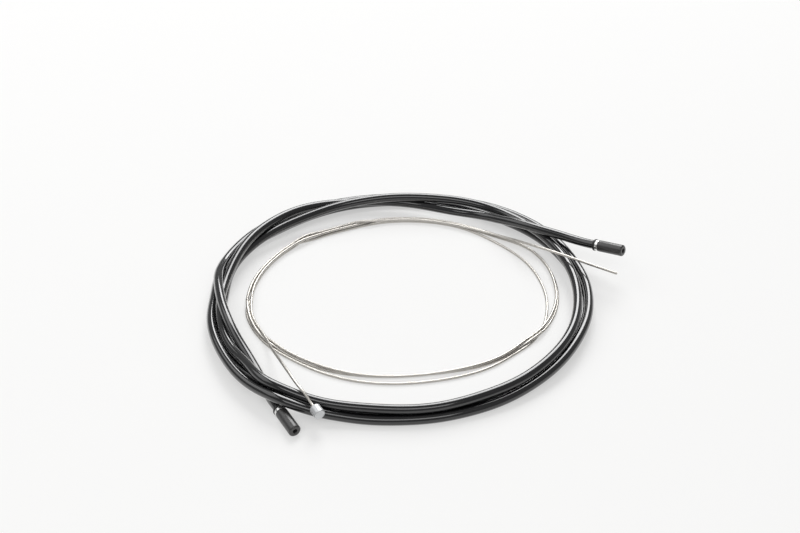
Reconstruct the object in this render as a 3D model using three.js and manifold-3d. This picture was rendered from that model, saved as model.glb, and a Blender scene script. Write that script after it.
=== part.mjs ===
// Shift cable for a bicycle: a coiled outer housing with a ferrule on each end, and the coiled
// inner wire with its head, lying inside the housing's coil. Millimetres, +Z up, table at z = 0.

import * as THREE from "three";
import { mergeVertices } from "three/addons/utils/BufferGeometryUtils.js";
import Module from "manifold-3d";

const wasm = await Module();
wasm.setup();

// Driving dimensions

const HOUSING_DIAMETER = 4.0;
const WIRE_DIAMETER = 1.2;
const MEETING_GAP = 0.3;

// The housing's coil is a ring of two tiers of turns: the lower one lies on the table, and the
// upper one, on the inner side, lies in the grooves of the lower one.
const HOUSING_COIL_CENTRE = new THREE.Vector3(-8, 2, 0);
const HOUSING_COIL_OUTER_RADIUS = 83;
const HOUSING_COIL_WIDTH = 12.5;
const HOUSING_COIL_RIM_WIDTH = 5.5;
const HOUSING_COIL_RIM_HEIGHT = 1.1 * HOUSING_DIAMETER;
const HOUSING_COIL_SHOULDER_HEIGHT = 1.85 * HOUSING_DIAMETER;
const HOUSING_COIL_HEIGHT = 2.4 * HOUSING_DIAMETER;
const HOUSING_COIL_EDGE = 1;
const HOUSING_COIL_SEGMENTS = 96;

const WIRE_COIL_CENTRE = new THREE.Vector3(-6, 4.5, 0);
const WIRE_COIL_OUTER_RADIUS = 65;
const WIRE_COIL_WIDTH = 6;
const WIRE_COIL_HEIGHT = 4;
const WIRE_COIL_EDGE = 0.6;
const WIRE_COIL_SEGMENTS = 72;

// Each ferrule is a turned body, a bare metal band against its mouth and a seal with a lip
// behind the band. Their lengths run along the ferrule's own axis, from the lip to the nose.
// Their bores fit the housing, and the hole in the nose fits the wire.
const FERRULE_WALL = 0.35;
const FERRULE_BODY_LENGTH = 12.0;
const FERRULE_BORE_DEPTH = 8.5;
const FERRULE_BORE_CLEARANCE = 0.15;
const FERRULE_NOSE_CHAMFER = 0.4;
const FERRULE_MOUTH_CHAMFER = 0.15;
const FERRULE_HOLE_CLEARANCE = 0.3;
const FERRULE_HOLE_CHAMFER = 0.2;
const BAND_WALL = 0.3;
const BAND_LENGTH = 0.9;
const SEAL_WALL = 0.45;
const SEAL_LENGTH = 1.1;
const SEAL_LIP_CHAMFER = 0.35;
const FERRULE_SEGMENTS = 32;

// The ferrules and the head lie round the housing's coil, each at an angle in degrees, so far
// beyond the coil's rim and at a height.
function roundCoil(degrees, beyond, height) {
  const radius = HOUSING_COIL_OUTER_RADIUS + beyond;
  const angle = THREE.MathUtils.degToRad(degrees);
  return new THREE.Vector3(radius * Math.cos(angle), radius * Math.sin(angle), height).add(
    HOUSING_COIL_CENTRE,
  );
}

const FRONT_FERRULE = {
  place: roundCoil(-122.758, 4.045, 3.0),
  direction: new THREE.Vector3(0.49, -0.871, -0.03),
};
const REAR_FERRULE = {
  place: roundCoil(17.634, 7.45, 12.7),
  direction: new THREE.Vector3(0.785, -0.595, 0.175),
};

// The head is a plain round slug, cast on the wire, with its seat face towards the wire.
const HEAD_DIAMETER = 4.5;
const HEAD_LENGTH = 4.4;
const HEAD_CHAMFER = 0.25;
const HEAD_SEGMENTS = 32;
const HEAD = {
  place: roundCoil(-112.641, 1.947, 7.9),
  direction: new THREE.Vector3(0.52, -0.85, -0.08),
};

// Stretches that lie outside the coils. The first point of each lies inside its own coil.
const HOUSING_FRONT_ROUTE = [
  [-63.0, -51.5, 5.0],
  [-60.6, -58.8, 3.6],
];
const HOUSING_REAR_ROUTE = [
  [29.3, 65.4, 4.5],
  [38.2, 57.7, 7.5],
  [46.8, 50.3, 10.4],
  [55.4, 44.5, 11.4],
  [63.9, 39.9, 11.5],
];
const WIRE_HEAD_ROUTE = [
  [-68.1, -12.8, 1.5],
  [-64.5, -22.8, 2.2],
  [-59.5, -36.2, 4.9],
  [-55.6, -47.3, 9.0],
  [-51.9, -56.4, 11.0],
  [-49.2, -62.3, 11.3],
  [-47.1, -65.9, 10.9],
  [-44.4, -70.3, 9.3],
  [-42.7, -73.1, 8.5],
];
const WIRE_FREE_ROUTE = [
  [6.1, 66.4, 1.5],
  [23.7, 59.9, 1.8],
  [37.9, 50.2, 3.7],
  [46.3, 40.6, 7.0],
  [54.3, 30.6, 10.4],
  [60.5, 25.7, 11.2],
  [65.9, 21.9, 11.4],
  [70.8, 18.8, 11.3],
  [79.1, 14.1, 10.8],
  [86.1, 10.6, 10.2],
];

const HOUSING_SIDES = 10;
const HOUSING_STEP = 2 * HOUSING_DIAMETER;
const WIRE_SIDES = 8;
const WIRE_STEP = 3 * WIRE_DIAMETER;

// Materials

function material(color, roughness, metalness) {
  return new THREE.MeshStandardMaterial({ color, roughness, metalness });
}

const jacketBlack = material(0x0b0b0c, 0.25, 0);
const ferruleBlack = material(0x1b1c1e, 0.42, 0.3);
const bandMetal = material(0xd6d7d6, 0.25, 1);
const sealBlack = material(0x141414, 0.7, 0);
const wireSteel = material(0xa9a49b, 0.35, 1);
const headMetal = material(0xb9bcbe, 0.5, 1);

// Shapes

function closed(geometry) {
  const bare = geometry.index ? geometry.toNonIndexed() : geometry;
  bare.deleteAttribute("normal");
  bare.deleteAttribute("uv");
  const merged = mergeVertices(bare, 1e-4);
  const kept = [];
  for (let corner = 0; corner < merged.index.count; corner += 3) {
    const [a, b, c] = [0, 1, 2].map((side) => merged.index.getX(corner + side));
    if (a !== b && b !== c && c !== a) kept.push(a, b, c);
  }
  merged.setIndex(kept);
  merged.computeVertexNormals();
  return merged;
}

// A turned body about +Z. The outline is a closed loop of [radius, height] pairs that runs
// up its outer side and down its inner side.
function turned(outline, segments) {
  const loop = [...outline, outline[0]].map(([radius, height]) => new THREE.Vector2(radius, height));
  return closed(new THREE.LatheGeometry(loop, segments).rotateX(Math.PI / 2));
}

function roundSection(diameter, sides) {
  const corners = [];
  for (let side = 0; side < sides; side += 1) {
    const angle = (2 * Math.PI * side) / sides;
    corners.push(new THREE.Vector2(Math.cos(angle), Math.sin(angle)).multiplyScalar(diameter / 2));
  }
  return new THREE.Shape(corners);
}

function tube(points, diameter, sides, step) {
  const path = new THREE.CatmullRomCurve3(points, false, "centripetal");
  const steps = Math.ceil(path.getLength() / step);
  const options = { steps, extrudePath: path, bevelEnabled: false };
  return closed(new THREE.ExtrudeGeometry(roundSection(diameter, sides), options));
}

function solidOf(geometry) {
  const vertProperties = new Float32Array(geometry.attributes.position.array);
  const triVerts = new Uint32Array(geometry.index.array);
  return new wasm.Manifold(new wasm.Mesh({ numProp: 3, vertProperties, triVerts }));
}

function without(geometry, tool) {
  const cut = solidOf(geometry).subtract(solidOf(tool)).getMesh();
  const result = new THREE.BufferGeometry();
  result.setAttribute("position", new THREE.BufferAttribute(cut.vertProperties, 3));
  result.setIndex(new THREE.BufferAttribute(cut.triVerts, 1));
  return closed(result);
}

function mesh(name, geometry, surface) {
  const result = new THREE.Mesh(geometry, surface);
  result.name = name;
  return result;
}

// Coils. With a growth they become the tools that stop a stretch short of its own coil.

function housingCoil(growth) {
  const inner = HOUSING_COIL_OUTER_RADIUS - HOUSING_COIL_WIDTH - growth;
  const outer = HOUSING_COIL_OUTER_RADIUS + growth;
  const shoulder = outer - HOUSING_COIL_RIM_WIDTH;
  const top = HOUSING_COIL_HEIGHT + growth;
  const edge = HOUSING_COIL_EDGE;
  const outline = [
    [inner + edge, -growth],
    [outer - edge, -growth],
    [outer, edge - growth],
    [outer, HOUSING_COIL_RIM_HEIGHT + growth],
    [shoulder, HOUSING_COIL_SHOULDER_HEIGHT + growth],
    [shoulder - edge, top],
    [inner + edge, top],
    [inner, top - edge],
    [inner, edge - growth],
  ];
  return turned(outline, HOUSING_COIL_SEGMENTS);
}

function wireCoil(growth) {
  const inner = WIRE_COIL_OUTER_RADIUS - WIRE_COIL_WIDTH - growth;
  const outer = WIRE_COIL_OUTER_RADIUS + growth;
  const top = WIRE_COIL_HEIGHT + growth;
  const edge = WIRE_COIL_EDGE;
  const outline = [
    [inner + edge, -growth],
    [outer - edge, -growth],
    [outer, edge - growth],
    [outer, top - edge],
    [outer - edge, top],
    [inner + edge, top],
    [inner, top - edge],
    [inner, edge - growth],
  ];
  return turned(outline, WIRE_COIL_SEGMENTS);
}

function placedTool(geometry, centre) {
  return geometry.translate(centre.x, centre.y, centre.z);
}

// Ferrules

const bandStart = SEAL_LENGTH + MEETING_GAP;
const bodyStart = bandStart + BAND_LENGTH + MEETING_GAP;
const boreRadius = HOUSING_DIAMETER / 2 + FERRULE_BORE_CLEARANCE;
const housingSeat = bodyStart + FERRULE_BORE_DEPTH - MEETING_GAP;

function sealShape() {
  const outer = boreRadius + SEAL_WALL;
  const outline = [
    [boreRadius, 0],
    [outer - SEAL_LIP_CHAMFER, 0],
    [outer, SEAL_LIP_CHAMFER],
    [outer, SEAL_LENGTH],
    [boreRadius, SEAL_LENGTH],
  ];
  return turned(outline, FERRULE_SEGMENTS);
}

function bandShape() {
  const outer = boreRadius + BAND_WALL;
  const outline = [
    [boreRadius, 0],
    [outer, 0],
    [outer, BAND_LENGTH],
    [boreRadius, BAND_LENGTH],
  ];
  return turned(outline, FERRULE_SEGMENTS);
}

function ferruleShape() {
  const outer = boreRadius + FERRULE_WALL;
  const hole = WIRE_DIAMETER / 2 + FERRULE_HOLE_CLEARANCE;
  const outline = [
    [boreRadius, 0],
    [outer - FERRULE_MOUTH_CHAMFER, 0],
    [outer, FERRULE_MOUTH_CHAMFER],
    [outer, FERRULE_BODY_LENGTH - FERRULE_NOSE_CHAMFER],
    [outer - FERRULE_NOSE_CHAMFER, FERRULE_BODY_LENGTH],
    [hole + FERRULE_HOLE_CHAMFER, FERRULE_BODY_LENGTH],
    [hole, FERRULE_BODY_LENGTH - FERRULE_HOLE_CHAMFER],
    [hole, FERRULE_BORE_DEPTH],
    [boreRadius, FERRULE_BORE_DEPTH],
  ];
  return turned(outline, FERRULE_SEGMENTS);
}

function aimed(group, { place, direction }) {
  group.position.copy(place);
  group.quaternion.setFromUnitVectors(new THREE.Vector3(0, 0, 1), direction.clone().normalize());
  return group;
}

function ferrule(end, placement) {
  const seal = mesh(`${end}_ferrule_seal`, sealShape(), sealBlack);
  const band = mesh(`${end}_ferrule_band`, bandShape(), bandMetal);
  const body = mesh(`${end}_ferrule`, ferruleShape(), ferruleBlack);
  band.position.z = bandStart;
  body.position.z = bodyStart;
  return aimed(new THREE.Group().add(seal, band, body), placement);
}

// The housing's last stretch runs straight into the seal and through the band to its seat in
// the bore. The straight run begins one and a half housing diameters short of the seal.
function housingTail(name, route, { place, direction }) {
  const axis = direction.clone().normalize();
  const along = (distance) => place.clone().addScaledVector(axis, distance);
  const straight = [-1.5 * HOUSING_DIAMETER, -HOUSING_DIAMETER / 4, bandStart, housingSeat].map(along);
  const points = [...route.map((point) => new THREE.Vector3(...point)), ...straight];
  const whole = tube(points, HOUSING_DIAMETER, HOUSING_SIDES, HOUSING_STEP);
  const tool = placedTool(housingCoil(MEETING_GAP), HOUSING_COIL_CENTRE);
  return mesh(name, without(whole, tool), jacketBlack);
}

// Head and the wire's stretches

function headShape() {
  const outer = HEAD_DIAMETER / 2;
  const profile = [
    [0, 0],
    [outer - HEAD_CHAMFER, 0],
    [outer, HEAD_CHAMFER],
    [outer, HEAD_LENGTH - HEAD_CHAMFER],
    [outer - HEAD_CHAMFER, HEAD_LENGTH],
    [0, HEAD_LENGTH],
  ].map(([radius, height]) => new THREE.Vector2(radius, height));
  return closed(new THREE.LatheGeometry(profile, HEAD_SEGMENTS).rotateX(Math.PI / 2));
}

function wireTail(name, points) {
  const whole = tube(points, WIRE_DIAMETER, WIRE_SIDES, WIRE_STEP);
  const tool = placedTool(wireCoil(MEETING_GAP), WIRE_COIL_CENTRE);
  return mesh(name, without(whole, tool), wireSteel);
}

function wireHeadTail() {
  const axis = HEAD.direction.clone().normalize();
  const end = HEAD.place.clone().addScaledVector(axis, -MEETING_GAP);
  const points = [...WIRE_HEAD_ROUTE.map((point) => new THREE.Vector3(...point)), end];
  return wireTail("wire_head_tail", points);
}

function wireFreeTail() {
  return wireTail("wire_free_tail", WIRE_FREE_ROUTE.map((point) => new THREE.Vector3(...point)));
}

// The whole cable

const housingRing = mesh("housing_coil", housingCoil(0), jacketBlack);
housingRing.position.copy(HOUSING_COIL_CENTRE);

const wireRing = mesh("wire_coil", wireCoil(0), wireSteel);
wireRing.position.copy(WIRE_COIL_CENTRE);

const head = aimed(mesh("wire_head", headShape(), headMetal), HEAD);

const shiftCable = new THREE.Group();
shiftCable.add(housingRing);
shiftCable.add(housingTail("housing_front_tail", HOUSING_FRONT_ROUTE, FRONT_FERRULE));
shiftCable.add(housingTail("housing_rear_tail", HOUSING_REAR_ROUTE, REAR_FERRULE));
shiftCable.add(ferrule("front", FRONT_FERRULE));
shiftCable.add(ferrule("rear", REAR_FERRULE));
shiftCable.add(wireRing);
shiftCable.add(wireHeadTail());
shiftCable.add(wireFreeTail());
shiftCable.add(head);

export default shiftCable;
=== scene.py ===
"""A coiled gear cable: black housing with its ferrules, and the stranded inner wire with its cast head."""

import math

import bpy
import numpy as np
from bpy.props import FloatProperty, FloatVectorProperty, IntProperty, PointerProperty
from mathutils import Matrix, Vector


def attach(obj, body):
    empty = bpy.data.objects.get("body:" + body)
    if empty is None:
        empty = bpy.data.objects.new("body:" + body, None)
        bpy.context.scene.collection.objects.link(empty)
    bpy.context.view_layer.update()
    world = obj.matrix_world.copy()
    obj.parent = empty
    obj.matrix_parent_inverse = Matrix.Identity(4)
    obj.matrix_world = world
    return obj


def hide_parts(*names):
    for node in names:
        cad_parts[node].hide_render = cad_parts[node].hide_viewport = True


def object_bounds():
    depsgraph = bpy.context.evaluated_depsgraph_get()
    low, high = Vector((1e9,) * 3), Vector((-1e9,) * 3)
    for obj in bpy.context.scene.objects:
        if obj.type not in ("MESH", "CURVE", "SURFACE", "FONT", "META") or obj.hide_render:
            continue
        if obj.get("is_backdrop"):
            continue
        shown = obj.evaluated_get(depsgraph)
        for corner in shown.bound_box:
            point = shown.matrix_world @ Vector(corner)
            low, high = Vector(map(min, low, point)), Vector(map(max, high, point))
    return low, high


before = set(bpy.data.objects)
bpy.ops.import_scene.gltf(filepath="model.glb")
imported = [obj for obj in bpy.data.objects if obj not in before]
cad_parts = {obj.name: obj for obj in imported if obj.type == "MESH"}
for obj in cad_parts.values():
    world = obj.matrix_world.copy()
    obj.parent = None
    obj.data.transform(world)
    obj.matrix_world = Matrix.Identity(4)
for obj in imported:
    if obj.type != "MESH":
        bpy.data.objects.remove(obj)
CAD_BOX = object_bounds()

bl_info = {
    "name": "Coiled gear cable",
    "version": (1, 0, 0),
    "blender": (4, 5, 0),
    "location": "View3D > Sidebar > Gear cable",
    "description": "Adds a coiled gear cable with its housing, ferrules, inner wire and cast head",
    "category": "Add Mesh",
}

# Where the turned parts stand: the place of each one's rear end and the way it points.
FRONT_FERRULE_PLACE = (-0.0551, -0.0712, 0.0030)
FRONT_FERRULE_AIM = (0.490, -0.871, -0.030)
REAR_FERRULE_PLACE = (0.0782, 0.0294, 0.0127)
REAR_FERRULE_AIM = (0.785, -0.595, 0.175)
HEAD_PLACE = (-0.0407, -0.0764, 0.0079)
HEAD_AIM = (0.520, -0.850, -0.080)

# Distances along a ferrule from its place, towards its nose.
SEAL_START, SEAL_END = 0.0, 0.0011
BAND_START, BAND_END = 0.0014, 0.0023
BODY_START, BODY_END = 0.0026, 0.0146
BORE_END = 0.0111
HOUSING_SEAT = 0.0108
HEAD_LENGTH = 0.0044
WIRE_SEAT = 0.0006

# Radii, clearances and chamfers of the turned parts, in metres. A profile that reaches the axis stops at
# AXIS_RADIUS, and the rounding of a corner takes no more than CORNER_SHARE of a side.
BORE_RADIUS = 0.00215
NOSE_HOLE_RADIUS = 0.0009
HOUSING_CLEARANCE = 0.00015
WIRE_CLEARANCE = 0.00003
SOCKET_DEPTH = 0.0001
BAND_REACH = 0.0002
MOUTH_CHAMFER = 0.00015
NOSE_CHAMFER = 0.0004
HOLE_CHAMFER = 0.0002
LIP_CHAMFER = 0.00035
HEAD_CHAMFER = 0.00025
AXIS_RADIUS = 0.00002
FERRULE_EDGE, BAND_EDGE, HEAD_EDGE = 0.00012, 0.0001, 0.00018
EDGE_STEPS = 4
CORNER_SHARE = 0.4

# Fineness of the meshes: sides round a piece, metres from ring to ring, and the degrees that make an edge
# sharp.
TURNED_SIDES, TURNED_SHARP = 72, 40
TUBE_SHARP = 80
HOUSING_SIDES, HOUSING_RING_STEP = 36, 0.00075
WIRE_RING_STEP = 0.00043

# The springy centre lines: metres from point to point, stiffness, and how hard the stations pull. A plain
# station pulls with 1. The seats pull so hard that each line runs straight into its ferrule or head.
SEAT_PULL = 400.0
REAR_ROUTE_PULL = 3.0
WIRE_ROUTE_PULL = 10.0
HOUSING_STEP, HOUSING_STIFFNESS = 0.002, 20.0
WIRE_DRAWN_STEP, WIRE_STEP, WIRE_STIFFNESS = 0.001, 0.0008, 60.0

# How the turns settle: rounds, averaging passes over each round's pushes, and points held at each end.
# Pairs of points are sought anew every PAIR_ROUNDS, BLOCK points at a time, within PAIR_REACH diameters of
# each other and more than PAIR_APART diameters apart along the line. They are pushed to PAIR_SPACING
# diameters, times PUSH_GAIN. The offsets are eased every EASE_ROUNDS.
SETTLE_ROUNDS = 160
HOUSING_PASSES, WIRE_PASSES = 16, 50
HOUSING_HELD, WIRE_HELD = (8, 26), (8, 3)
PAIR_ROUNDS, EASE_ROUNDS = 10, 4
PAIR_REACH, PAIR_APART, PAIR_SPACING = 2.2, 6, 1.02
PUSH_GAIN = 1.4
BLOCK = 256

# The housing's line. Its lead is where it lies on a ferrule's axis, as distances from the ferrule's place.
# A station is an angle about the coil's middle in degrees, a radius and a height in metres.
HOUSING_LEAD = (HOUSING_SEAT, 0.006, 0.001, -0.003)
HOUSING_MIDDLE = (-0.008, 0.002)
HOUSING_TURNS = (
    (-130.8, 0.0800, 0.0023), (-135.3, 0.0776, 0.0023), (-139, 0.0761, 0.0028),
    (-144.3, 0.0748, 0.0043), (-149.2, 0.0743, 0.0054), (-153, 0.0748, 0.0068),
    (-156.5, 0.0749, 0.0082), (-160, 0.0751, 0.0094), (-168.3, 0.0758, 0.0099), (-178, 0.0772, 0.0099),
    (-188, 0.0794, 0.0084), (-197, 0.0806, 0.0066), (-202.5, 0.0809, 0.0056), (-210, 0.0811, 0.0048),
    (-217, 0.0813, 0.0042), (-224, 0.0820, 0.0036), (-231, 0.0830, 0.0030), (-238, 0.0840, 0.0025),
    (-252, 0.0844, 0.0023), (-263, 0.0843, 0.0021), (-270, 0.0843, 0.0021), (-280, 0.0844, 0.0024),
    (-290, 0.0841, 0.0032), (-300, 0.0836, 0.0042), (-312, 0.0831, 0.0050), (-322, 0.0827, 0.0054),
    (-333, 0.0816, 0.0054), (-343, 0.0810, 0.0054), (-352.6, 0.0812, 0.0054), (-360.5, 0.0810, 0.0054),
    (-373.4, 0.0805, 0.0054), (-384, 0.0798, 0.0052), (-396, 0.0794, 0.0045), (-405, 0.0789, 0.0037),
    (-413, 0.0785, 0.0030), (-420, 0.0783, 0.0025), (-430, 0.0779, 0.0021), (-440, 0.0786, 0.0021),
    (-450, 0.0789, 0.0021), (-461, 0.0800, 0.0023), (-467, 0.0810, 0.0031), (-474.5, 0.0837, 0.0048),
    (-480, 0.0864, 0.0074), (-483, 0.0869, 0.0081), (-486, 0.0865, 0.0077), (-489.4, 0.0863, 0.0069),
    (-498, 0.0852, 0.0062), (-507, 0.0837, 0.0057), (-522, 0.0819, 0.0054), (-532, 0.0805, 0.0044),
    (-540, 0.0799, 0.0033), (-548, 0.0810, 0.0024), (-556, 0.0826, 0.0021), (-564, 0.0827, 0.0021),
    (-572, 0.0814, 0.0021), (-585, 0.0803, 0.0021), (-597, 0.0802, 0.0021), (-608, 0.0802, 0.0023),
    (-615, 0.0802, 0.0024), (-622, 0.0802, 0.0023), (-631, 0.0803, 0.0021), (-645, 0.0804, 0.0021),
    (-660, 0.0804, 0.0021), (-675, 0.0806, 0.0021), (-690, 0.0804, 0.0021), (-702, 0.0799, 0.0021),
    (-714, 0.0792, 0.0021), (-730, 0.0778, 0.0021), (-746, 0.0760, 0.0021), (-765, 0.0752, 0.0021),
    (-785, 0.0747, 0.0021), (-810, 0.0748, 0.0021), (-820, 0.0756, 0.0021), (-827, 0.0770, 0.0024),
    (-835, 0.0797, 0.0032), (-840, 0.0816, 0.0042), (-845, 0.0823, 0.0056), (-850, 0.0821, 0.0063),
    (-856, 0.0819, 0.0056), (-862, 0.0812, 0.0040), (-868, 0.0805, 0.0028), (-876, 0.0796, 0.0022),
    (-887, 0.0780, 0.0021), (-900, 0.0764, 0.0021), (-910, 0.0772, 0.0023), (-918, 0.0784, 0.0027),
    (-923, 0.0790, 0.0033), (-926, 0.0783, 0.0042), (-931, 0.0774, 0.0050), (-935, 0.0766, 0.0056),
    (-939, 0.0756, 0.0060), (-943.5, 0.0749, 0.0065), (-951, 0.0735, 0.0071), (-959, 0.0728, 0.0078),
    (-967, 0.0726, 0.0084), (-975, 0.0725, 0.0088), (-983, 0.0731, 0.0090), (-990, 0.0737, 0.0089),
    (-1004.5, 0.0752, 0.0087), (-1019, 0.0780, 0.0078), (-1026, 0.0789, 0.0070),
    (-1040, 0.0786, 0.0068), (-1050, 0.0777, 0.0072), (-1062, 0.0767, 0.0075),
    (-1074.4, 0.0762, 0.0075), (-1085.5, 0.0760, 0.0075), (-1096, 0.0762, 0.0075),
    (-1107, 0.0764, 0.0074), (-1123, 0.0763, 0.0069), (-1132, 0.0763, 0.0065), (-1146, 0.0758, 0.0059),
    (-1158, 0.0765, 0.0056), (-1170, 0.0767, 0.0056), (-1181.5, 0.0773, 0.0058),
    (-1187, 0.0785, 0.0062), (-1195.6, 0.0805, 0.0072), (-1201.8, 0.0819, 0.0086),
    (-1205, 0.0827, 0.0094), (-1208.4, 0.0835, 0.0099), (-1211.5, 0.0832, 0.0096),
    (-1218, 0.0805, 0.0082), (-1224.4, 0.0792, 0.0068), (-1232, 0.0787, 0.0061),
    (-1243, 0.0776, 0.0059), (-1251, 0.0773, 0.0060), (-1260, 0.0766, 0.0061), (-1267, 0.0765, 0.0066),
    (-1275, 0.0762, 0.0078), (-1286.7, 0.0769, 0.0092), (-1296, 0.0777, 0.0094),
    (-1305, 0.0785, 0.0090), (-1314, 0.0793, 0.0081), (-1325, 0.0783, 0.0068), (-1336, 0.0770, 0.0055),
    (-1350, 0.0753, 0.0049), (-1365, 0.0724, 0.0049), (-1373, 0.0720, 0.0051),
)
HOUSING_REAR_ROUTE = (
    (0.0293, 0.0654, 0.0054), (0.0382, 0.0577, 0.0078), (0.0468, 0.0503, 0.0104),
    (0.0554, 0.0443, 0.0111), (0.0640, 0.0394, 0.0113),
)

# The inner wire's line in the same form, from its head to its free end.
WIRE_LEAD = (WIRE_SEAT, -0.0005, -0.0018)
WIRE_MIDDLE = (-0.006, 0.0045)
WIRE_HEAD_ROUTE = (
    (-0.0425, -0.0735, 0.0088), (-0.0447, -0.0708, 0.0103), (-0.0480, -0.0660, 0.0112),
    (-0.0500, -0.0623, 0.0114), (-0.0528, -0.0564, 0.0110), (-0.0564, -0.0473, 0.0090),
    (-0.0600, -0.0362, 0.0049),
)
WIRE_TURNS = (
    (-156, 0.0650, 0.0026), (-165, 0.0658, 0.0019), (-178, 0.0664, 0.0018), (-195, 0.0662, 0.0018),
    (-210, 0.0656, 0.0018), (-225, 0.0649, 0.0018), (-240, 0.0628, 0.0018), (-255, 0.0629, 0.0018),
    (-270, 0.0632, 0.0018), (-285, 0.0636, 0.0018), (-300, 0.0638, 0.0018), (-312, 0.0654, 0.0018),
    (-325, 0.0682, 0.0018), (-333, 0.0685, 0.0018), (-341, 0.0680, 0.0018), (-352, 0.0667, 0.0018),
    (-362, 0.0654, 0.0018), (-375, 0.0629, 0.0018), (-383, 0.0612, 0.0018), (-396, 0.0583, 0.0018),
    (-407, 0.0569, 0.0018), (-417, 0.0554, 0.0018), (-435, 0.0536, 0.0018), (-452, 0.0541, 0.0018),
    (-470, 0.0562, 0.0018), (-486, 0.0584, 0.0018), (-500, 0.0610, 0.0018), (-510, 0.0636, 0.0016),
    (-525, 0.0665, 0.0008), (-536, 0.0675, 0.00065), (-548, 0.0675, 0.00065), (-561, 0.0672, 0.00065),
    (-575, 0.0666, 0.00065), (-590, 0.0640, 0.00065), (-605, 0.0624, 0.00065), (-620, 0.0629, 0.00065),
    (-630, 0.0631, 0.00065), (-645, 0.0634, 0.00065), (-660, 0.0626, 0.00065), (-676, 0.0614, 0.00065),
    (-688, 0.0617, 0.00065), (-706, 0.0616, 0.00065), (-722, 0.0616, 0.00065), (-735, 0.0617, 0.00065),
    (-744, 0.0616, 0.00065), (-756, 0.0594, 0.00065), (-768.5, 0.0586, 0.00065),
    (-779, 0.0580, 0.00065), (-796, 0.0569, 0.00065), (-812, 0.0574, 0.00065), (-830, 0.0592, 0.00065),
    (-844.5, 0.0607, 0.00065), (-859, 0.0626, 0.00065), (-870, 0.0649, 0.00065),
    (-885, 0.0676, 0.00065), (-900, 0.0672, 0.00065), (-915, 0.0666, 0.00065), (-930, 0.0658, 0.00065),
    (-945, 0.0650, 0.00065), (-960, 0.0629, 0.0008), (-975, 0.0634, 0.0007), (-990, 0.0642, 0.00065),
    (-1005, 0.0644, 0.00065), (-1020, 0.0644, 0.00065), (-1032.5, 0.0658, 0.00065),
    (-1044.5, 0.0692, 0.00065), (-1052, 0.0693, 0.00065), (-1061, 0.0686, 0.00065),
    (-1071, 0.0675, 0.00065), (-1078, 0.0667, 0.00065), (-1095, 0.0639, 0.0008),
    (-1103, 0.0622, 0.0010), (-1116, 0.0589, 0.0009), (-1127.6, 0.0569, 0.0007),
    (-1137, 0.0553, 0.00065), (-1155, 0.0524, 0.00065), (-1172, 0.0526, 0.00065),
    (-1190, 0.0554, 0.00065), (-1205, 0.0587, 0.00065), (-1220, 0.0615, 0.0007),
    (-1230, 0.0642, 0.0012), (-1245, 0.0670, 0.0018), (-1260, 0.0679, 0.0018), (-1275, 0.0675, 0.0018),
    (-1290, 0.0664, 0.0018), (-1305, 0.0650, 0.0018), (-1320, 0.0632, 0.0018), (-1335, 0.0628, 0.0018),
    (-1350, 0.0631, 0.0018), (-1361, 0.0631, 0.0018),
)
WIRE_FREE_ROUTE = (
    (0.0237, 0.0599, 0.0020), (0.0379, 0.0502, 0.0037), (0.0463, 0.0406, 0.0070),
    (0.0543, 0.0306, 0.0104), (0.0605, 0.0257, 0.0112), (0.0659, 0.0219, 0.0114),
    (0.0708, 0.0188, 0.0113), (0.0791, 0.0141, 0.0108), (0.0861, 0.0106, 0.0102),
)

# The part of a noise's range that the finishes use, and the sockets of a node that mixes colours.
NOISE_LOW, NOISE_HIGH = 0.3, 0.7
MIX_FACTOR, MIX_FIRST, MIX_SECOND, MIX_RESULT = 0, 6, 7, 2

# The stage: half the floor's side, the plain white that the camera sees in it and its share, the world's
# light, the lamps as name, place, size and radiance, and the camera, with its tilt in degrees and its lens
# and sensor in millimetres.
FLOOR_HALF = 2.5
FLOOR_WHITE = (0.99, 0.988, 0.982, 1.0)
FLOOR_WHITE_SHARE = 0.5
WORLD_STRENGTH = 0.27
SOFTBOXES = (
    ("back softbox", (0.19, 1.38, 1.38), (0.96, 1.40), 6.3),
    ("front panel", (0.0, -0.85, 1.05), (1.30, 0.50), 2.2),
    ("left panel", (-0.95, 0.25, 1.05), (1.50, 0.90), 1.2),
)
CAMERA_PLACE = (-0.008, -0.4879, 0.3565)
CAMERA_TILT = 55.5
CAMERA_LENS = 63.0
CAMERA_SENSOR = 36.0
CAMERA_CLIP = 0.01


class GearCableSizes(bpy.types.PropertyGroup):
    """Sizes that a user would change."""

    housing_diameter: FloatProperty(
        name="Housing diameter", description="Outside diameter of the black housing",
        default=0.004, min=0.003, max=0.006, unit="LENGTH")
    wire_diameter: FloatProperty(
        name="Wire diameter", description="Outside diameter of the stranded inner wire",
        default=0.0012, min=0.0008, max=0.002, unit="LENGTH")
    wire_strands: IntProperty(
        name="Outer strands", description="Number of strands in the wire's outer layer",
        default=12, min=5, max=19)
    strand_lay: FloatProperty(
        name="Strand lay", description="Length in which a strand goes once round the wire",
        default=0.0095, min=0.004, max=0.03, unit="LENGTH")
    strand_depth: FloatProperty(
        name="Strand groove", description="Depth of the groove between two strands",
        default=0.00005, min=0.0, max=0.0002, unit="LENGTH")
    ferrule_diameter: FloatProperty(
        name="Ferrule diameter", description="Outside diameter of a ferrule's body",
        default=0.005, min=0.004, max=0.007, unit="LENGTH")
    band_diameter: FloatProperty(
        name="Band diameter", description="Outside diameter of the bright band at a ferrule's mouth",
        default=0.0049, min=0.004, max=0.007, unit="LENGTH")
    seal_diameter: FloatProperty(
        name="Seal diameter", description="Outside diameter of the dark lip behind the band",
        default=0.0052, min=0.004, max=0.007, unit="LENGTH")
    head_diameter: FloatProperty(
        name="Head diameter", description="Diameter of the slug cast on the wire's end",
        default=0.0045, min=0.003, max=0.007, unit="LENGTH")


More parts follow.
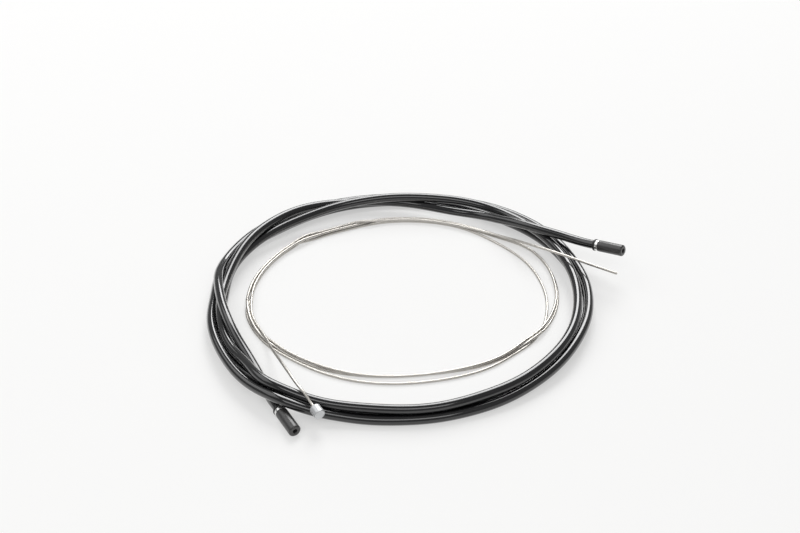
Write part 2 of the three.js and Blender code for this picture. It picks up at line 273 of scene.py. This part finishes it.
class GearCableColours(bpy.types.PropertyGroup):
    """Colours and finishes that a user would change."""

    jacket: FloatVectorProperty(
        name="Jacket", description="Colour of the housing's glossy jacket",
        default=(0.006, 0.006, 0.007), subtype="COLOR", size=3, min=0.0, max=1.0)
    ferrule: FloatVectorProperty(
        name="Ferrule", description="Colour of the ferrule bodies",
        default=(0.030, 0.029, 0.029), subtype="COLOR", size=3, min=0.0, max=1.0)
    band: FloatVectorProperty(
        name="Band", description="Colour of the bare metal bands",
        default=(0.86, 0.86, 0.85), subtype="COLOR", size=3, min=0.0, max=1.0)
    seal: FloatVectorProperty(
        name="Seal", description="Colour of the soft lips behind the bands",
        default=(0.018, 0.018, 0.018), subtype="COLOR", size=3, min=0.0, max=1.0)
    strand: FloatVectorProperty(
        name="Strand", description="Colour of the wire's drawn strands",
        default=(0.82, 0.79, 0.74), subtype="COLOR", size=3, min=0.0, max=1.0)
    head: FloatVectorProperty(
        name="Head", description="Colour of the cast head",
        default=(0.64, 0.65, 0.66), subtype="COLOR", size=3, min=0.0, max=1.0)
    floor: FloatVectorProperty(
        name="Floor", description="Colour of the pale floor",
        default=(0.90, 0.90, 0.895), subtype="COLOR", size=3, min=0.0, max=1.0)


def unit(vector):
    """The vector divided by its length."""
    vector = np.asarray(vector, float)
    return vector / np.linalg.norm(vector)


def along(place, aim, distances):
    """Points on a straight axis: the place plus each distance times the unit aim."""
    return np.asarray(place, float) + np.outer(distances, unit(aim))


def around(turns, middle):
    """Points of a coil: the middle plus radius times the angle's cosine and sine, at the height."""
    table = np.array(turns, float)
    angle = np.radians(table[:, 0])
    return np.column_stack([
        middle[0] + table[:, 1] * np.cos(angle),
        middle[1] + table[:, 1] * np.sin(angle),
        table[:, 2],
    ])


def length_along(points):
    """The length of the line up to each of its points."""
    return np.concatenate([[0.0], np.cumsum(np.linalg.norm(np.diff(points, axis=0), axis=1))])


def line_length(line):
    """The sum of the line's steps."""
    return float(np.linalg.norm(np.diff(line, axis=0), axis=1).sum())


def drawn_line(points, pull, step, stiffness):
    """A springy line through stations. Its even points x minimise the sum of pull times the squared
    distance to each station, plus stiffness times the squared third differences of x, which keeps its
    curvature changing slowly. That is one linear system."""
    chord = length_along(points)
    count = int(round(chord[-1] / step)) + 1
    place = chord / chord[-1] * (count - 1)
    low = np.minimum(place.astype(int), count - 2)
    share = place - low
    draw = np.zeros((len(points), count))
    draw[np.arange(len(points)), low] = 1 - share
    draw[np.arange(len(points)), low + 1] = share
    bend = np.diff(np.eye(count), 3, axis=0)
    system = draw.T @ (draw * pull[:, None]) + stiffness * bend.T @ bend
    return np.linalg.solve(system, draw.T @ (points * pull[:, None]))


def evened(line, step):
    """The same line with points at equal distances, by linear interpolation over its length."""
    length = length_along(line)
    want = np.linspace(0.0, length[-1], int(round(length[-1] / step)) + 1)
    return np.column_stack([np.interp(want, length, line[:, axis]) for axis in range(3)])


def touching_pairs(line, reach, apart):
    """Pairs of points nearer than reach that lie more than apart points from each other along the line."""
    firsts, seconds = [], []
    for start in range(0, len(line), BLOCK):
        block = line[start:start + BLOCK]
        gap = np.linalg.norm(block[:, None] - line[None], axis=2)
        first, second = np.nonzero(gap < reach)
        first = first + start
        keep = second - first > apart
        firsts.append(first[keep])
        seconds.append(second[keep])
    return np.concatenate(firsts), np.concatenate(seconds)


def settled(line, diameter, held_ends, passes):
    """Lays the turns on the floor and on each other. In each round a pair nearer than a diameter is pushed
    apart along its own direction, and the pushes are spread along the line by a 1-2-1 average. Points are
    kept at least a radius above the floor, and the offsets are eased now and then by a 1-8-1 average. The
    points held at the two ends stay."""
    held = np.zeros(len(line), bool)
    held[:held_ends[0]] = held[-held_ends[1]:] = True
    step = np.linalg.norm(line[1] - line[0])
    apart = int(PAIR_APART * diameter / step)
    offset = np.zeros_like(line)
    for turn in range(SETTLE_ROUNDS):
        here = line + offset
        if turn % PAIR_ROUNDS == 0:
            first, second = touching_pairs(here, PAIR_REACH * diameter, apart)
        across = here[second] - here[first]
        gap = np.maximum(np.linalg.norm(across, axis=1), 1e-9)
        short = np.maximum(diameter * PAIR_SPACING - gap, 0.0)
        push = across / gap[:, None] * (0.5 * short)[:, None]
        change = np.zeros_like(line)
        hits = np.zeros(len(line))
        np.add.at(change, first, -push)
        np.add.at(change, second, push)
        np.add.at(hits, first, short > 0)
        np.add.at(hits, second, short > 0)
        change /= np.sqrt(np.maximum(hits, 1.0))[:, None]
        for _ in range(passes):
            change[1:-1] = 0.5 * change[1:-1] + 0.25 * (change[:-2] + change[2:])
        offset += change * PUSH_GAIN
        offset[:, 2] = np.maximum(offset[:, 2], diameter / 2 - line[:, 2])
        offset[held] = 0.0
        if turn % EASE_ROUNDS == EASE_ROUNDS - 1:
            offset[1:-1] = 0.8 * offset[1:-1] + 0.1 * (offset[:-2] + offset[2:])
    return line + offset


def finer(line, step):
    """A denser line: the points become a uniform cubic B-spline's knots, read at even steps. Each point of
    it is the knots' weighted mean, with the cubic's own weights."""
    ends = np.vstack([2 * line[0] - line[1], line, 2 * line[-1] - line[-2]])
    want = np.linspace(0.0, len(line) - 1.0, int(round(line_length(line) / step)) + 1)
    low = np.minimum(want.astype(int), len(line) - 2)
    share = (want - low)[:, None]
    before, here = ends[low], ends[low + 1]
    there, after = ends[low + 2], ends[np.minimum(low + 3, len(ends) - 1)]
    return (
        before * (1 - share) ** 3
        + here * (3 * share ** 3 - 6 * share ** 2 + 4)
        + there * (-3 * share ** 3 + 3 * share ** 2 + 3 * share + 1)
        + after * share ** 3
    ) / 6


def housing_line(diameter):
    """The housing's centre line, from its seat in the front ferrule, round the coil, to its seat in the
    rear ferrule."""
    start = along(FRONT_FERRULE_PLACE, FRONT_FERRULE_AIM, HOUSING_LEAD)
    end = along(REAR_FERRULE_PLACE, REAR_FERRULE_AIM, HOUSING_LEAD[::-1])
    points = np.vstack([start, around(HOUSING_TURNS, HOUSING_MIDDLE), HOUSING_REAR_ROUTE, end])
    lead = len(HOUSING_LEAD)
    pull = np.ones(len(points))
    pull[:lead] = pull[-lead:] = SEAT_PULL
    pull[-lead - len(HOUSING_REAR_ROUTE):-lead] = REAR_ROUTE_PULL
    line = evened(drawn_line(points, pull, HOUSING_STEP, HOUSING_STIFFNESS), HOUSING_STEP)
    return settled(line, diameter, HOUSING_HELD, HOUSING_PASSES)


def wire_line(diameter):
    """The inner wire's centre line, from its seat in the head, round its coil, to its bare free end."""
    start = along(HEAD_PLACE, HEAD_AIM, WIRE_LEAD)
    points = np.vstack([start, WIRE_HEAD_ROUTE, around(WIRE_TURNS, WIRE_MIDDLE), WIRE_FREE_ROUTE])
    lead = len(WIRE_LEAD)
    pull = np.ones(len(points))
    pull[:lead] = SEAT_PULL
    pull[lead:lead + len(WIRE_HEAD_ROUTE)] = WIRE_ROUTE_PULL
    pull[-len(WIRE_FREE_ROUTE):] = WIRE_ROUTE_PULL
    line = evened(drawn_line(points, pull, WIRE_DRAWN_STEP, WIRE_STIFFNESS), WIRE_STEP)
    return settled(line, diameter, WIRE_HELD, WIRE_PASSES)


def line_frames(line):
    """Tangents by central differences, a level side vector, which is up crossed with the tangent, and the
    upright one."""
    tangent = np.gradient(line, axis=0)
    tangent /= np.linalg.norm(tangent, axis=1)[:, None]
    side = np.cross((0.0, 0.0, 1.0), tangent)
    side /= np.linalg.norm(side, axis=1)[:, None]
    return tangent, side, np.cross(tangent, side)


def grid_faces(ring, next_ring, sides):
    """Quads of a grid round an axis. Each joins a ring to its next ring and a side to the next side."""
    ring, next_ring = ring[:, None] * sides, next_ring[:, None] * sides
    here = np.arange(sides)[None, :]
    there = (here + 1) % sides
    quads = np.stack([ring + here, ring + there, next_ring + there, next_ring + here], axis=-1)
    return quads.reshape(-1, 4)


def grid_uv(places, sides):
    """UV corners of such a grid's quads: u goes from place to place along it, v once round it."""
    ring = np.repeat(np.arange(len(places) - 1), sides)
    side = np.tile(np.arange(sides), len(places) - 1)
    corners = ((0, 0), (0, 1), (1, 1), (1, 0))
    uv = np.stack([np.column_stack([places[ring + u], (side + v) / sides]) for u, v in corners], axis=1)
    return uv.reshape(-1, 2)


def grid_object(name, points, faces, uv, sharp):
    """A smooth object of the given points, faces and UV corners. Edges that turn by more than sharp degrees
    are marked sharp."""
    mesh = bpy.data.meshes.new(name)
    mesh.from_pydata(points.tolist(), [], faces)
    layer = mesh.uv_layers.new(name="UVMap")
    layer.data.foreach_set("uv", uv.astype(np.float32).ravel())
    mesh.polygons.foreach_set("use_smooth", np.ones(len(mesh.polygons), bool))
    mesh.set_sharp_from_angle(angle=math.radians(sharp))
    mesh.validate()
    mesh.update()
    piece = bpy.data.objects.new(name, mesh)
    bpy.context.scene.collection.objects.link(piece)
    return piece


def tube_object(name, line, radii, sides, twist):
    """A closed tube. Vertex (i, j) is the line's point i plus radii[i, j] times the direction at angle
    2 pi j / sides + twist[i] in the ring's side and upright plane. Each end is closed by a fan to its
    centre. The UV map holds metres along the line over the circumference, and turns round it."""
    tangent, side, upright = line_frames(line)
    turn = 2 * np.pi * np.arange(sides) / sides
    angle = turn[None, :] + twist[:, None]
    rings = len(line)
    across = np.cos(angle)[..., None] * side[:, None] + np.sin(angle)[..., None] * upright[:, None]
    shell = (line[:, None] + across * radii[..., None]).reshape(-1, 3)
    points = np.vstack([shell, line[:1], line[-1:]])
    ring = np.arange(rings - 1)
    loop = np.arange(sides)
    after = (loop + 1) % sides
    last = (rings - 1) * sides
    first_cap = np.column_stack([after, loop, np.full(sides, rings * sides)])
    last_cap = np.column_stack([last + loop, last + after, np.full(sides, rings * sides + 1)])
    faces = grid_faces(ring, ring + 1, sides).tolist() + first_cap.tolist() + last_cap.tolist()
    girth = 2 * np.pi * radii.mean()
    caps = np.zeros((2 * sides * 3, 2))
    uv = np.vstack([grid_uv(length_along(line) / girth, sides), caps])
    return grid_object(name, points, faces, uv, TUBE_SHARP)


def eased(profile, radius):
    """A closed profile with rounded corners. Each corner becomes a quadratic arc between the points that
    lie a radius, or at most a share of a side, from it on its two sides."""
    profile = np.array(profile, float)
    ends = []
    for shift in (1, -1):
        side = np.roll(profile, shift, axis=0) - profile
        length = np.linalg.norm(side, axis=1)
        reach = np.minimum(radius, CORNER_SHARE * length)
        ends.append(profile + side / length[:, None] * reach[:, None])
    first, last = ends
    share = np.linspace(0.0, 1.0, EDGE_STEPS + 1)[None, :, None]
    arc = (
        first[:, None] * (1 - share) ** 2
        + profile[:, None] * 2 * share * (1 - share)
        + last[:, None] * share ** 2
    )
    return arc.reshape(-1, 2)


def turned_object(name, place, aim, profile):
    """A turned piece. The closed profile's points are (distance along the axis, radius). Each is carried
    round the axis: place plus distance times the aim, plus radius times the direction at each angle."""
    sides = TURNED_SIDES
    axis = unit(aim)
    side = unit(np.cross((0.0, 0.0, 1.0), axis))
    upright = np.cross(axis, side)
    turn = 2 * np.pi * np.arange(sides) / sides
    across = np.cos(turn)[:, None] * side + np.sin(turn)[:, None] * upright
    points = (
        np.asarray(place, float)
        + profile[:, None, :1] * axis
        + profile[:, None, 1:] * across[None]
    ).reshape(-1, 3)
    ring = np.arange(len(profile))
    faces = grid_faces(ring, (ring + 1) % len(profile), sides).tolist()
    girth = 2 * np.pi * profile[:, 1].max()
    uv = grid_uv(length_along(np.vstack([profile, profile[:1]])) / girth, sides)
    return grid_object(name, points, faces, uv, TURNED_SHARP)


def new_material(name):
    """A material with an empty node tree but for its surface shader and output."""
    material = bpy.data.materials.new(name)
    material.use_nodes = True
    nodes = material.node_tree.nodes
    nodes.clear()
    output = nodes.new("ShaderNodeOutputMaterial")
    output.location = (600, 0)
    shader = nodes.new("ShaderNodeBsdfPrincipled")
    shader.location = (300, 0)
    material.node_tree.links.new(shader.outputs["BSDF"], output.inputs["Surface"])
    return material, material.node_tree, shader


def noise(tree, vector, scale, detail, roughness):
    """A noise texture on the given vector."""
    node = tree.nodes.new("ShaderNodeTexNoise")
    node.inputs["Scale"].default_value = scale
    node.inputs["Detail"].default_value = detail
    node.inputs["Roughness"].default_value = roughness
    tree.links.new(vector, node.inputs["Vector"])
    return node.outputs["Fac"]


def roughened(tree, shader, value, smooth, rough):
    """A roughness that goes from smooth to rough over the middle of a noise's range."""
    node = tree.nodes.new("ShaderNodeMapRange")
    node.inputs["From Min"].default_value = NOISE_LOW
    node.inputs["From Max"].default_value = NOISE_HIGH
    node.inputs["To Min"].default_value = smooth
    node.inputs["To Max"].default_value = rough
    tree.links.new(value, node.inputs["Value"])
    tree.links.new(node.outputs["Result"], shader.inputs["Roughness"])


def stretched(tree, vector, scale):
    """The vector multiplied by a scale on each axis."""
    node = tree.nodes.new("ShaderNodeMapping")
    node.inputs["Scale"].default_value = scale
    tree.links.new(vector, node.inputs["Vector"])
    return node.outputs["Vector"]


def tinted(tree, value, dark, light):
    """A colour ramp between two colours."""
    node = tree.nodes.new("ShaderNodeValToRGB")
    node.color_ramp.elements[0].color = (*dark, 1.0)
    node.color_ramp.elements[1].color = (*light, 1.0)
    tree.links.new(value, node.inputs["Fac"])
    return node.outputs["Color"]


def bumped(tree, shader, height, strength, distance, normal=None):
    """A bump into the shader's normal, over an earlier bump where there is one."""
    node = tree.nodes.new("ShaderNodeBump")
    node.inputs["Strength"].default_value = strength
    node.inputs["Distance"].default_value = distance
    tree.links.new(height, node.inputs["Height"])
    if normal is not None:
        tree.links.new(normal, node.inputs["Normal"])
    tree.links.new(node.outputs["Normal"], shader.inputs["Normal"])
    return node.outputs["Normal"]


def object_vector(tree):
    """Object coordinates."""
    return tree.nodes.new("ShaderNodeTexCoord").outputs["Object"]


def uv_vector(tree):
    """The piece's own UV map: along it and round it."""
    node = tree.nodes.new("ShaderNodeUVMap")
    node.uv_map = "UVMap"
    return node.outputs["UV"]


def shaded(colour, factor):
    """A colour times a factor."""
    return tuple(min(1.0, channel * factor) for channel in colour)


def coloured(tree, shader, value, colour, dark, light):
    """A base colour that follows a value from the colour times dark to the colour times light."""
    ramp = tinted(tree, value, shaded(colour, dark), shaded(colour, light))
    tree.links.new(ramp, shader.inputs["Base Color"])


def jacket_material(colour):
    """Glossy extruded jacket: deep black under a clear skin, faint lengthwise drawing marks, fine handling
    haze that roughens it in patches, and a barely wavy surface from the wires beneath."""
    material, tree, shader = new_material("glossy black jacket")
    place = object_vector(tree)
    run = uv_vector(tree)
    shader.inputs["IOR"].default_value = 1.42
    shader.inputs["Coat Weight"].default_value = 1.0
    shader.inputs["Coat Roughness"].default_value = 0.04
    shader.inputs["Coat IOR"].default_value = 1.52
    haze = noise(tree, place, scale=90.0, detail=3.0, roughness=0.55)
    roughened(tree, shader, haze, smooth=0.13, rough=0.20)
    coloured(tree, shader, haze, colour, dark=0.75, light=1.35)
    drawing = noise(tree, stretched(tree, run, (0.5, 60.0, 1.0)), scale=1.0, detail=2.0, roughness=0.5)
    normal = bumped(tree, shader, drawing, strength=0.04, distance=0.00001)
    wave = noise(tree, place, scale=420.0, detail=1.0, roughness=0.4)
    bumped(tree, shader, wave, strength=0.05, distance=0.00002, normal=normal)
    return material


def ferrule_material(colour):
    """Satin moulded body: dark grey, fine mould grain, and cloudy patches a little darker or brighter."""
    material, tree, shader = new_material("satin ferrule")
    place = object_vector(tree)
    shader.inputs["IOR"].default_value = 1.6
    shader.inputs["Coat Weight"].default_value = 0.25
    shader.inputs["Coat Roughness"].default_value = 0.20
    grain = noise(tree, place, scale=3200.0, detail=3.0, roughness=0.6)
    cloud = noise(tree, place, scale=260.0, detail=2.0, roughness=0.5)
    roughened(tree, shader, cloud, smooth=0.32, rough=0.44)
    coloured(tree, shader, cloud, colour, dark=0.8, light=1.4)
    bumped(tree, shader, grain, strength=0.10, distance=0.00003)
    return material


def band_material(colour):
    """Bright turned ring: bare metal with fine turning lines round it and small changes of shine."""
    material, tree, shader = new_material("bright turned band")
    run = uv_vector(tree)
    shader.inputs["Metallic"].default_value = 1.0
    lines = noise(tree, stretched(tree, run, (260.0, 0.6, 1.0)), scale=1.0, detail=2.0, roughness=0.6)
    roughened(tree, shader, lines, smooth=0.20, rough=0.34)
    coloured(tree, shader, lines, colour, dark=0.92, light=1.08)
    bumped(tree, shader, lines, strength=0.12, distance=0.00002)
    return material


def seal_material(colour):
    """Soft dark lip: matte, faintly grained and dusty where it was handled."""
    material, tree, shader = new_material("soft black seal")
    place = object_vector(tree)
    shader.inputs["IOR"].default_value = 1.5
    grain = noise(tree, place, scale=2600.0, detail=3.0, roughness=0.6)
    roughened(tree, shader, grain, smooth=0.42, rough=0.62)
    coloured(tree, shader, grain, colour, dark=0.8, light=1.5)
    bumped(tree, shader, grain, strength=0.12, distance=0.00003)
    return material


def strand_material(colour):
    """Drawn steel strands: warm grey metal, streaked along each strand and dulled in patches, with painted
    shade that darkens the grooves between them."""
    material, tree, shader = new_material("drawn steel strands")
    place = object_vector(tree)
    groove = tree.nodes.new("ShaderNodeAttribute")
    groove.attribute_name = "groove"
    shader.inputs["Metallic"].default_value = 1.0
    shader.inputs["IOR"].default_value = 1.5
    film = noise(tree, place, scale=700.0, detail=2.0, roughness=0.5)
    roughened(tree, shader, film, smooth=0.32, rough=0.44)
    # Painted shade: the grooves between strands are darkened to 0.58 of the colour, and the ridges are
    # painted a little lighter
    groove_shade = tinted(tree, groove.outputs["Fac"], shaded(colour, 1.05), shaded(colour, 0.58))
    streak = tinted(tree, film, (0.86, 0.86, 0.86), (1.0, 1.0, 1.0))
    mix = tree.nodes.new("ShaderNodeMix")
    mix.data_type = "RGBA"
    mix.blend_type = "MULTIPLY"
    mix.inputs[MIX_FACTOR].default_value = 1.0
    tree.links.new(groove_shade, mix.inputs[MIX_FIRST])
    tree.links.new(streak, mix.inputs[MIX_SECOND])
    tree.links.new(mix.outputs[MIX_RESULT], shader.inputs["Base Color"])
    bumped(tree, shader, film, strength=0.05, distance=0.00001)
    return material


def head_material(colour):
    """Cast slug: pale grey metal, matte, with a fine cast grain and a few soft pits."""
    material, tree, shader = new_material("pale cast head")
    place = object_vector(tree)
    shader.inputs["Metallic"].default_value = 0.75
    shader.inputs["IOR"].default_value = 1.5
    grain = noise(tree, place, scale=1500.0, detail=4.0, roughness=0.6)
    cloud = noise(tree, place, scale=500.0, detail=2.0, roughness=0.5)
    roughened(tree, shader, grain, smooth=0.36, rough=0.54)
    coloured(tree, shader, cloud, colour, dark=0.9, light=1.1)
    bumped(tree, shader, grain, strength=0.25, distance=0.00006)
    return material


def floor_material(colour):
    """Matte pale floor with a hardly visible paper grain. A share of what the camera, gloss and clear
    materials see of it is plain near-white, so it reads as the white sheet of a product shot, and the rest
    keeps the object's shadow."""
    material, tree, shader = new_material("pale floor")
    place = object_vector(tree)
    shader.inputs["Roughness"].default_value = 1.0
    shader.inputs["Specular IOR Level"].default_value = 0.0
    grain = noise(tree, place, scale=40.0, detail=2.0, roughness=0.5)
    coloured(tree, shader, grain, colour, dark=0.997, light=1.003)
    glow = tree.nodes.new("ShaderNodeEmission")
    glow.inputs["Color"].default_value = FLOOR_WHITE
    glow.inputs["Strength"].default_value = 1.0
    path = tree.nodes.new("ShaderNodeLightPath")
    seen = path.outputs["Is Camera Ray"]
    for ray in ("Is Glossy Ray", "Is Transmission Ray"):
        either = tree.nodes.new("ShaderNodeMath")
        either.operation = "MAXIMUM"
        tree.links.new(seen, either.inputs[0])
        tree.links.new(path.outputs[ray], either.inputs[1])
        seen = either.outputs[0]
    share = tree.nodes.new("ShaderNodeMath")
    share.operation = "MULTIPLY"
    share.inputs[1].default_value = FLOOR_WHITE_SHARE
    tree.links.new(seen, share.inputs[0])
    blend = tree.nodes.new("ShaderNodeMixShader")
    output = tree.nodes["Material Output"]
    tree.links.new(share.outputs[0], blend.inputs["Fac"])
    tree.links.new(shader.outputs["BSDF"], blend.inputs[1])
    tree.links.new(glow.outputs["Emission"], blend.inputs[2])
    tree.links.new(blend.outputs["Shader"], output.inputs["Surface"])
    return material


def dressed(piece, material):
    """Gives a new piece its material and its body."""
    piece.data.materials.clear()
    piece.data.materials.append(material)
    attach(piece, "root")


def add_softbox(name, place, size, radiance):
    """A rectangular lamp turned to the coil's middle. Its power is radiance times its area times pi."""
    data = bpy.data.lights.new(name, "AREA")
    data.shape = "RECTANGLE"
    data.size, data.size_y = size
    data.energy = radiance * size[0] * size[1] * math.pi
    lamp = bpy.data.objects.new(name, data)
    lamp.location = place
    lamp.rotation_euler = (-Vector(place)).to_track_quat("-Z", "Y").to_euler()
    bpy.context.scene.collection.objects.link(lamp)


class GEARCABLE_OT_ferrules(bpy.types.Operator):
    """Adds the two ferrules, each with its body, bright band and soft seal"""

    bl_idname = "gearcable.ferrules"
    bl_label = "Add ferrules"

    def execute(self, context):
        sizes = context.scene.gear_cable_sizes
        colours = context.scene.gear_cable_colours
        body_skin = ferrule_material(colours.ferrule)
        band_skin = band_material(colours.band)
        seal_skin = seal_material(colours.seal)
        outer = sizes.ferrule_diameter / 2
        inner = sizes.housing_diameter / 2 + HOUSING_CLEARANCE
        lip = sizes.seal_diameter / 2
        ring = sizes.band_diameter / 2
        body = (
            (BODY_START, BORE_RADIUS),
            (BODY_START, outer - MOUTH_CHAMFER), (BODY_START + MOUTH_CHAMFER, outer),
            (BODY_END - NOSE_CHAMFER, outer), (BODY_END, outer - NOSE_CHAMFER),
            (BODY_END, NOSE_HOLE_RADIUS + HOLE_CHAMFER), (BODY_END - HOLE_CHAMFER, NOSE_HOLE_RADIUS),
            (BORE_END, NOSE_HOLE_RADIUS), (BORE_END, BORE_RADIUS),
        )
        band = (
            (BAND_START - BAND_REACH, inner), (BAND_START - BAND_REACH, ring),
            (BAND_END + BAND_REACH, ring), (BAND_END + BAND_REACH, inner),
        )
        seal = (
            (SEAL_START, inner), (SEAL_START, lip - LIP_CHAMFER), (SEAL_START + LIP_CHAMFER, lip),
            (SEAL_END, lip), (SEAL_END, inner),
        )
        parts = (
            ("_ferrule_turned", "_ferrule", eased(body, FERRULE_EDGE), body_skin, "ferrule_body"),
            ("_band_turned", "_ferrule_band", eased(band, BAND_EDGE), band_skin, "ferrule_band"),
            ("_seal_turned", "_ferrule_seal", eased(seal, FERRULE_EDGE), seal_skin, "ferrule_seal"),
        )
        ends = (
            ("front", FRONT_FERRULE_PLACE, FRONT_FERRULE_AIM),
            ("rear", REAR_FERRULE_PLACE, REAR_FERRULE_AIM),
        )
        for end, place, aim in ends:
            for name, node, profile, skin, slot in parts:
                piece = turned_object(end + name, place, aim, profile)
                dressed(piece, skin)
                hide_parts(end + node)
        return {"FINISHED"}


class GEARCABLE_OT_housing(bpy.types.Operator):
    """Adds the housing: one length of black tube, coiled as it rests"""

    bl_idname = "gearcable.housing"
    bl_label = "Add housing"

    def execute(self, context):
        sizes = context.scene.gear_cable_sizes
        colours = context.scene.gear_cable_colours
        line = finer(housing_line(sizes.housing_diameter), HOUSING_RING_STEP)
        radii = np.full((len(line), HOUSING_SIDES), sizes.housing_diameter / 2)
        piece = tube_object("housing", line, radii, HOUSING_SIDES, np.zeros(len(line)))
        dressed(piece, jacket_material(colours.jacket))
        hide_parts("housing_coil", "housing_front_tail", "housing_rear_tail")
        return {"FINISHED"}


class GEARCABLE_OT_wire(bpy.types.Operator):
    """Adds the inner wire: twisted strands, coiled loosely inside the housing's coil"""

    bl_idname = "gearcable.wire"
    bl_label = "Add inner wire"

    def execute(self, context):
        sizes = context.scene.gear_cable_sizes
        colours = context.scene.gear_cable_colours
        line = finer(wire_line(sizes.wire_diameter), WIRE_RING_STEP)
        sides = 2 * sizes.wire_strands
        twist = 2 * np.pi * length_along(line) / sizes.strand_lay
        groove = np.arange(sides) % 2
        radii = np.tile(sizes.wire_diameter / 2 - sizes.strand_depth * groove, (len(line), 1))
        piece = tube_object("inner_wire", line, radii, sides, twist)
        # The groove mask goes to the strand material, which paints shade into the grooves between strands
        shade = np.concatenate([np.tile(groove.astype(np.float32), len(line)), np.zeros(2, np.float32)])
        layer = piece.data.attributes.new("groove", "FLOAT", "POINT")
        layer.data.foreach_set("value", shade)
        dressed(piece, strand_material(colours.strand))
        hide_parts("wire_coil", "wire_head_tail", "wire_free_tail")
        return {"FINISHED"}


class GEARCABLE_OT_head(bpy.types.Operator):
    """Adds the round head cast on the wire's end"""

    bl_idname = "gearcable.head"
    bl_label = "Add wire head"

    def execute(self, context):
        sizes = context.scene.gear_cable_sizes
        colours = context.scene.gear_cable_colours
        outer = sizes.head_diameter / 2
        seat = sizes.wire_diameter / 2 + WIRE_CLEARANCE
        socket = WIRE_SEAT + SOCKET_DEPTH
        profile = (
            (socket, AXIS_RADIUS), (socket, seat), (0.0, seat),
            (0.0, outer - HEAD_CHAMFER), (HEAD_CHAMFER, outer),
            (HEAD_LENGTH - HEAD_CHAMFER, outer), (HEAD_LENGTH, outer - HEAD_CHAMFER),
            (HEAD_LENGTH, AXIS_RADIUS),
        )
        piece = turned_object("wire_head_cast", HEAD_PLACE, HEAD_AIM, eased(profile, HEAD_EDGE))
        dressed(piece, head_material(colours.head))
        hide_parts("wire_head")
        return {"FINISHED"}


class GEARCABLE_OT_stage(bpy.types.Operator):
    """Adds the pale floor, the studio lights and the camera"""

    bl_idname = "gearcable.stage"
    bl_label = "Add stage"

    def execute(self, context):
        scene = context.scene
        colours = scene.gear_cable_colours
        half = FLOOR_HALF
        corners = [(-half, -half, 0.0), (half, -half, 0.0), (half, half, 0.0), (-half, half, 0.0)]
        mesh = bpy.data.meshes.new("floor")
        mesh.from_pydata(corners, [], [(0, 1, 2, 3)])
        mesh.materials.append(floor_material(colours.floor))
        floor = bpy.data.objects.new("floor", mesh)
        scene.collection.objects.link(floor)
        floor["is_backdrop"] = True

        world = bpy.data.worlds.new("studio")
        scene.world = world
        world.use_nodes = True
        background = world.node_tree.nodes["Background"]
        background.inputs["Color"].default_value = (1.0, 1.0, 1.0, 1.0)
        background.inputs["Strength"].default_value = WORLD_STRENGTH

        for name, place, size, radiance in SOFTBOXES:
            add_softbox(name, place, size, radiance)

        data = bpy.data.cameras.new("camera")
        data.lens = CAMERA_LENS
        data.sensor_width = CAMERA_SENSOR
        data.dof.use_dof = False
        data.clip_start = CAMERA_CLIP
        camera = bpy.data.objects.new("camera", data)
        camera.location = CAMERA_PLACE
        camera.rotation_euler = (math.radians(CAMERA_TILT), 0.0, 0.0)
        scene.collection.objects.link(camera)
        scene.camera = camera
        scene.view_settings.view_transform = "Standard"
        return {"FINISHED"}


class GEARCABLE_PT_panel(bpy.types.Panel):
    """Lists the gear cable's pieces and its sizes and colours"""

    bl_idname = "GEARCABLE_PT_panel"
    bl_label = "Gear cable"
    bl_space_type = "VIEW_3D"
    bl_region_type = "UI"
    bl_category = "Gear cable"

    def draw(self, context):
        layout = self.layout
        for operator in OPERATORS:
            layout.operator(operator.bl_idname)
        for group in (context.scene.gear_cable_sizes, context.scene.gear_cable_colours):
            box = layout.box()
            for name in group.__annotations__:
                box.prop(group, name)


OPERATORS = (
    GEARCABLE_OT_ferrules,
    GEARCABLE_OT_housing,
    GEARCABLE_OT_head,
    GEARCABLE_OT_wire,
    GEARCABLE_OT_stage,
)
CLASSES = (GearCableSizes, GearCableColours, *OPERATORS, GEARCABLE_PT_panel)


def register():
    """Registers the classes and hangs the sizes and colours on the scene."""
    for item in CLASSES:
        bpy.utils.register_class(item)
    bpy.types.Scene.gear_cable_sizes = PointerProperty(type=GearCableSizes)
    bpy.types.Scene.gear_cable_colours = PointerProperty(type=GearCableColours)


def unregister():
    """Takes them off again."""
    del bpy.types.Scene.gear_cable_colours
    del bpy.types.Scene.gear_cable_sizes
    for item in reversed(CLASSES):
        bpy.utils.unregister_class(item)


def main():
    """Makes the pieces and the stage."""
    register()
    bpy.ops.gearcable.ferrules()
    bpy.ops.gearcable.housing()
    bpy.ops.gearcable.head()
    bpy.ops.gearcable.wire()
    bpy.ops.gearcable.stage()
    boxes = {"cad": CAD_BOX, "visual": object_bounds()}
    boxes = {name: [[float(value) for value in corner] for corner in box] for name, box in boxes.items()}


if __name__ == "__main__":
    main()
